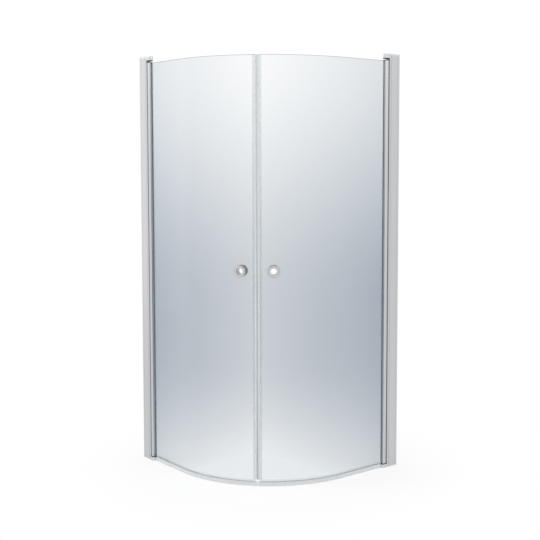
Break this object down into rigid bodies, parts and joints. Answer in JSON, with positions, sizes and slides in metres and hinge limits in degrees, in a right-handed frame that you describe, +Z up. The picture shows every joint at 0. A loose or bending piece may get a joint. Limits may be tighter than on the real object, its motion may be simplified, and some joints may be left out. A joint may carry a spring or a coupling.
{
  "type": "quadrant shower enclosure",
  "caption": "Quadrant shower enclosure with curved clear glass doors on slim silver wall posts, opening both inward and outward, with round chrome ring grips.",
  "frame": {"origin": "middle of the square footprint, on the floor", "axes": "+Z up; the walls are the planes at -X and +Y, the doors face +X and -Y"},
  "size_m": [0.9, 0.9, 2],
  "materials": {
    "anodised": "satin silver anodised",
    "chrome_plate": "polished chrome",
    "steel": "plain stainless",
    "black_plastic": "matt black",
    "grey_rubber": "matt",
    "black_rubber": "matt",
    "safety_glass": "clear, polished",
    "clear_plastic": "clear, soft",
    "pale_plastic": "matt",
    "magnet": "matt"
  },
  "bodies": {
    "frame": {"left_wall_channel": "anodised", "left_post": "anodised", "left_hinge_seal": "grey_rubber", "left_top_bracket": "chrome_plate", "left_bottom_bracket": "chrome_plate", "left_top_bush": "black_plastic", "left_top_pin": "steel", "left_bottom_pin": "steel", "left_lower_washer": "pale_plastic", "left_lock_screws": "steel", "left_screw_caps": "pale_plastic", "left_bracket_screws": "steel", "left_pin_screws": "steel", "right_wall_channel": "anodised", "right_post": "anodised", "right_hinge_seal": "grey_rubber", "right_top_bracket": "chrome_plate", "right_bottom_bracket": "chrome_plate", "right_top_bush": "black_plastic", "right_top_pin": "steel", "right_bottom_pin": "steel", "right_lower_washer": "pale_plastic", "right_lock_screws": "steel", "right_screw_caps": "pale_plastic", "right_bracket_screws": "steel", "right_pin_screws": "steel"},
    "left_door": {"left_hinge_tube": "anodised", "left_top_plug": "black_plastic", "left_bottom_plug": "black_plastic", "left_glass_gasket": "black_rubber", "left_glass": "safety_glass", "left_seam_seal": "clear_plastic", "left_magnet_strip": "magnet", "left_bottom_seal": "clear_plastic", "left_grip_outer_ring": "chrome_plate", "left_grip_inner_ring": "chrome_plate", "left_grip_sleeve": "chrome_plate", "left_grip_washers": "clear_plastic", "left_grip_screw": "steel"},
    "right_door": {"right_hinge_tube": "anodised", "right_top_plug": "black_plastic", "right_bottom_plug": "black_plastic", "right_glass_gasket": "black_rubber", "right_glass": "safety_glass", "right_seam_seal": "clear_plastic", "right_magnet_strip": "magnet", "right_bottom_seal": "clear_plastic", "right_grip_outer_ring": "chrome_plate", "right_grip_inner_ring": "chrome_plate", "right_grip_sleeve": "chrome_plate", "right_grip_washers": "clear_plastic", "right_grip_screw": "steel"}
  },
  "joints": [
    {"name": "left_door_hinge", "type": "hinge", "parent": "frame", "child": "left_door", "pos_m": [-0.374, -0.437, 0], "axis": [0, 0, 1], "range_deg": [-90, 80]},
    {"name": "right_door_hinge", "type": "hinge", "parent": "frame", "child": "right_door", "pos_m": [0.437, 0.374, 0], "axis": [0, 0, -1], "range_deg": [-90, 80]}
  ]
}
